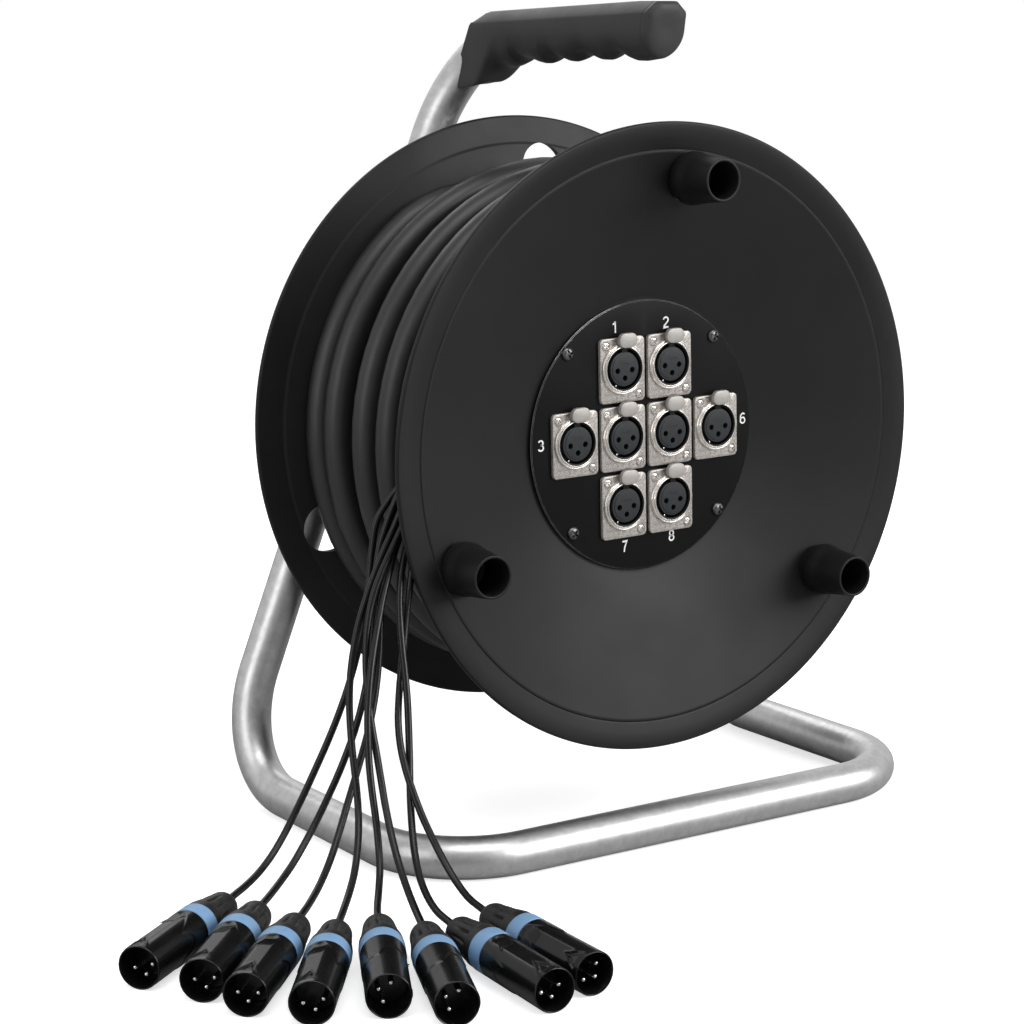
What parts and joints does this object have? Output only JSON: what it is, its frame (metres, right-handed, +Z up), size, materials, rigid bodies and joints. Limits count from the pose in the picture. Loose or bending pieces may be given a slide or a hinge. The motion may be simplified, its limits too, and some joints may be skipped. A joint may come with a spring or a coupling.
{
  "type": "stage box cable drum",
  "caption": "Cable drum on a bent-tube carrying stand with a hub panel of audio sockets, wound multicore and a fan of tails ending in plugs.",
  "frame": {"origin": "centre of the stand's footprint, at floor level", "axes": "+Z up; the drum turns about Y; the connector panel and the pegs face -Y, and +X is to the right when facing the panel"},
  "size_m": [0.4681, 0.34, 0.3957],
  "materials": {
    "zinc_tube": "dull zinc plating over bent tube",
    "grip_plastic": "dark grey-black satin moulding with rounded finger ridges",
    "steel": "bright plated",
    "nylon": "natural nylon",
    "drum_plastic": "black moulded plastic with a fine spark-eroded grain",
    "cable_jacket": "matt black flexible jacket",
    "sleeve_rubber": "shrunk sleeve, matt",
    "panel_plate": "matt black powder coat",
    "connector_shell": "speckled nickel plate on a die casting, with a bright ring",
    "latch_metal": "pale matt nickel",
    "tail_jacket": "thin black jacket",
    "plug_shell": "glossy black die casting",
    "plug_boot": "dull blue coding ring on a black boot"
  },
  "bodies": {
    "frame": {"frame_tube": "zinc_tube", "handle_grip": "grip_plastic", "axle_pin": "steel", "axle_nut": "steel", "hub_bracket": "zinc_tube", "thrust_washer": "nylon", "multicore_end": "cable_jacket", "fan_out_sleeve": "sleeve_rubber", "tail_cable_1": "tail_jacket", "tail_cable_2": "tail_jacket", "tail_cable_3": "tail_jacket", "tail_cable_4": "tail_jacket", "tail_cable_5": "tail_jacket", "tail_cable_6": "tail_jacket", "tail_cable_7": "tail_jacket", "tail_cable_8": "tail_jacket", "plug_shell_1": "plug_shell", "plug_shell_2": "plug_shell", "plug_shell_3": "plug_shell", "plug_shell_4": "plug_shell", "plug_shell_5": "plug_shell", "plug_shell_6": "plug_shell", "plug_shell_7": "plug_shell", "plug_shell_8": "plug_shell", "plug_boot_1": "plug_boot", "plug_boot_2": "plug_boot", "plug_boot_3": "plug_boot", "plug_boot_4": "plug_boot", "plug_boot_5": "plug_boot", "plug_boot_6": "plug_boot", "plug_boot_7": "plug_boot", "plug_boot_8": "plug_boot"},
    "drum": {"front_flange": "drum_plastic", "rear_flange": "drum_plastic", "drum_barrel": "drum_plastic", "cable_core": "cable_jacket", "cable_winding": "cable_jacket", "hub_bush": "drum_plastic", "connector_panel": "panel_plate", "cable_peg_1": "drum_plastic", "cable_peg_2": "drum_plastic", "cable_peg_3": "drum_plastic", "connector_1": "connector_shell", "connector_2": "connector_shell", "connector_3": "connector_shell", "connector_4": "connector_shell", "connector_5": "connector_shell", "connector_6": "connector_shell", "connector_7": "connector_shell", "connector_8": "connector_shell"},
    "latch_1": {"latch_1": "latch_metal"},
    "latch_2": {"latch_2": "latch_metal"},
    "latch_3": {"latch_3": "latch_metal"},
    "latch_4": {"latch_4": "latch_metal"},
    "latch_5": {"latch_5": "latch_metal"},
    "latch_6": {"latch_6": "latch_metal"},
    "latch_7": {"latch_7": "latch_metal"},
    "latch_8": {"latch_8": "latch_metal"}
  },
  "joints": [
    {"name": "drum_spin", "type": "hinge", "parent": "frame", "child": "drum", "pos_m": [0, -0.0039, 0.191], "axis": [0, 1, 0], "continuous": true},
    {"name": "latch_press_1", "type": "slide", "parent": "drum", "child": "latch_1", "axis": [0, 1, 0], "range_m": [0, 0.0012], "stiffness_N_per_m": 500, "springref_m": -0.0005},
    {"name": "latch_press_2", "type": "slide", "parent": "drum", "child": "latch_2", "axis": [0, 1, 0], "range_m": [0, 0.0012], "stiffness_N_per_m": 500, "springref_m": -0.0005},
    {"name": "latch_press_3", "type": "slide", "parent": "drum", "child": "latch_3", "axis": [0, 1, 0], "range_m": [0, 0.0012], "stiffness_N_per_m": 500, "springref_m": -0.0005},
    {"name": "latch_press_4", "type": "slide", "parent": "drum", "child": "latch_4", "axis": [0, 1, 0], "range_m": [0, 0.0012], "stiffness_N_per_m": 500, "springref_m": -0.0005},
    {"name": "latch_press_5", "type": "slide", "parent": "drum", "child": "latch_5", "axis": [0, 1, 0], "range_m": [0, 0.0012], "stiffness_N_per_m": 500, "springref_m": -0.0005},
    {"name": "latch_press_6", "type": "slide", "parent": "drum", "child": "latch_6", "axis": [0, 1, 0], "range_m": [0, 0.0012], "stiffness_N_per_m": 500, "springref_m": -0.0005},
    {"name": "latch_press_7", "type": "slide", "parent": "drum", "child": "latch_7", "axis": [0, 1, 0], "range_m": [0, 0.0012], "stiffness_N_per_m": 500, "springref_m": -0.0005},
    {"name": "latch_press_8", "type": "slide", "parent": "drum", "child": "latch_8", "axis": [0, 1, 0], "range_m": [0, 0.0012], "stiffness_N_per_m": 500, "springref_m": -0.0005}
  ]
}
